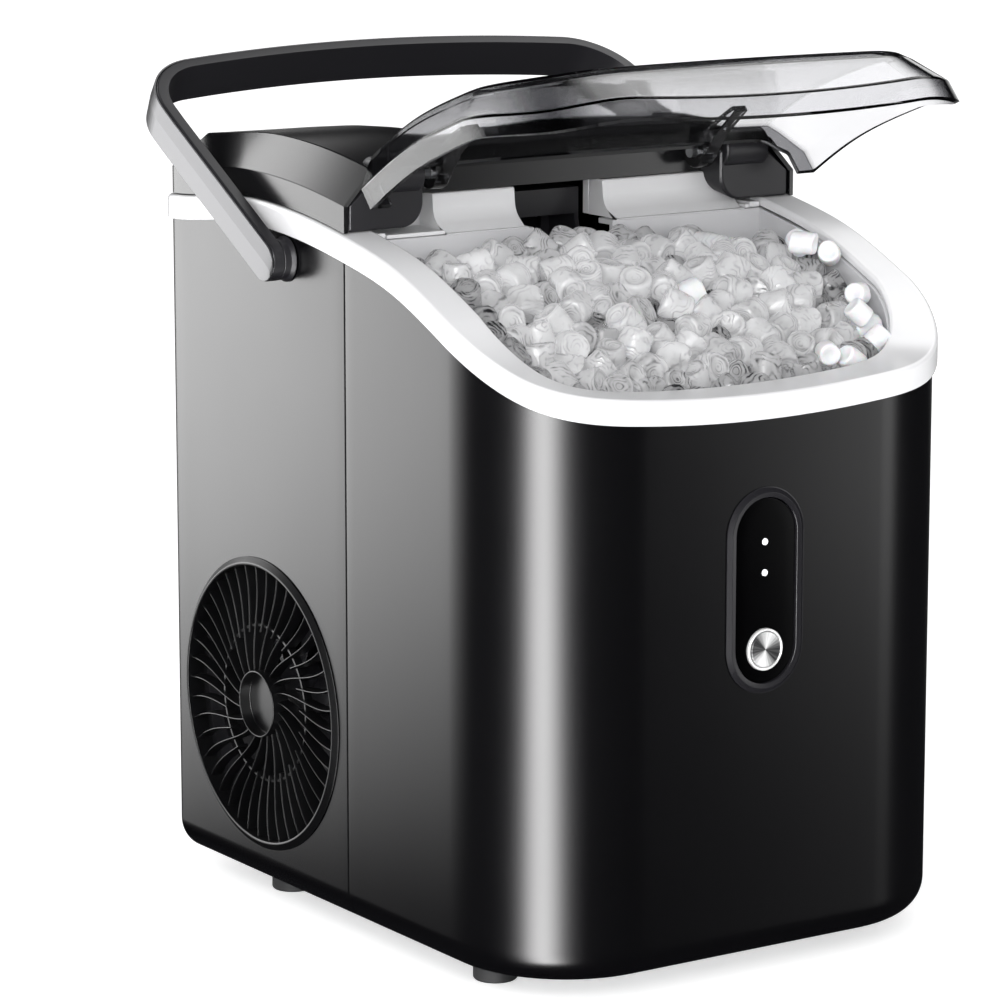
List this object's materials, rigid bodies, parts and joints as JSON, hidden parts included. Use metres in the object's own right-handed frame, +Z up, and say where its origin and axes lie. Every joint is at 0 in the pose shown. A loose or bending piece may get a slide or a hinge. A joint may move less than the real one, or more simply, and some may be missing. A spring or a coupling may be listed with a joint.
{
  "type": "ice maker",
  "caption": "Countertop nugget ice maker with a raised see-through lid, sweeping white trim, carrying handle, front control panel and swirl fan grille.",
  "frame": {"origin": "on the surface it stands on, under the middle of its outer box with the lid raised and the handle leaning back", "axes": "+Z up, the control panel faces -Y, +X to the right of someone who faces the panel"},
  "size_m": [0.248, 0.3096, 0.3653],
  "materials": {
    "gloss_black": "semi-gloss black moulded plastic",
    "satin_black": "satin black moulded plastic",
    "white_gloss": "glossy near-white moulded plastic",
    "liner_grey": "smooth light grey moulded plastic",
    "smoke_clear": "clear grey-tinted moulded plastic, polished",
    "black_glass": "polished black panel",
    "silver": "satin silver metallic lacquer",
    "spun_steel": "spun bright steel",
    "sheet_steel": "zinc-plated sheet steel",
    "copper": "drawn copper tube and fins",
    "painted_pot": "black stoved paint",
    "rubber_black": "matte black rubber",
    "foam_grey": "closed-cell foam jacket",
    "board_green": "lacquered circuit board",
    "clear_plastic": "frosted clear plastic",
    "lens_white": "clear light lens"
  },
  "bodies": {
    "housing": {"front_shell": "gloss_black", "rear_shell": "gloss_black", "trim_ring": "white_gloss", "base_pan": "sheet_steel", "foot_front_left": "rubber_black", "foot_front_right": "rubber_black", "foot_rear_left": "rubber_black", "foot_rear_right": "rubber_black", "basin": "liner_grey", "back_panel": "liner_grey", "rear_cover": "gloss_black", "hinge_block_left": "satin_black", "hinge_block_right": "satin_black", "hinge_pin_left": "sheet_steel", "hinge_pin_right": "sheet_steel", "handle_pivot_left": "satin_black", "handle_pivot_right": "satin_black", "fan_grille": "satin_black", "fan_shroud": "satin_black", "fan_motor": "sheet_steel", "condenser": "copper", "compressor": "painted_pot", "compressor_grommet_1": "rubber_black", "compressor_grommet_2": "rubber_black", "compressor_grommet_3": "rubber_black", "compressor_grommet_4": "rubber_black", "ice_barrel": "foam_grey", "gear_motor": "sheet_steel", "ice_outlet": "satin_black", "water_tank": "clear_plastic", "water_pump": "satin_black", "suction_pipe": "copper", "discharge_pipe": "copper", "water_hose": "clear_plastic", "control_bezel": "satin_black", "control_glass": "black_glass", "control_board": "board_green", "light_upper": "lens_white", "light_lower": "lens_white", "button_ring": "spun_steel", "power_inlet": "satin_black"},
    "lid": {"lid": "smoke_clear", "lid_arm_left": "satin_black", "lid_arm_right": "satin_black"},
    "handle": {"handle_frame": "satin_black", "handle_skin": "silver"},
    "fan": {"fan_rotor": "satin_black"},
    "auger": {"auger": "spun_steel"},
    "basket": {"ice_basket": "clear_plastic"},
    "button": {"button": "spun_steel"},
    "drain_cap": {"drain_cap": "satin_black"}
  },
  "joints": [
    {"name": "lid_hinge", "type": "hinge", "parent": "housing", "child": "lid", "pos_m": [0, -0.006, 0.314], "axis": [-1, 0, 0], "range_deg": [-42.4, 45]},
    {"name": "handle_hinge", "type": "hinge", "parent": "housing", "child": "handle", "pos_m": [0, 0.034, 0.2775], "axis": [1, 0, 0], "range_deg": [0, 60.2]},
    {"name": "fan_spin", "type": "hinge", "parent": "housing", "child": "fan", "pos_m": [-0.092, 0.0574, 0.08725], "axis": [1, 0, 0], "continuous": true},
    {"name": "auger_spin", "type": "hinge", "parent": "housing", "child": "auger", "pos_m": [0, 0.041, 0.19], "axis": [0, 0, 1], "continuous": true},
    {"name": "basket_lift", "type": "slide", "parent": "housing", "child": "basket", "axis": [0, 0, 1], "range_m": [0, 0.03]},
    {"name": "button_press", "type": "slide", "parent": "housing", "child": "button", "axis": [0, 1, 0], "range_m": [0, 0.0015], "stiffness_N_per_m": 400},
    {"name": "drain_cap_pull", "type": "slide", "parent": "housing", "child": "drain_cap", "axis": [0, 1, 0], "range_m": [0, 0.012]}
  ]
}
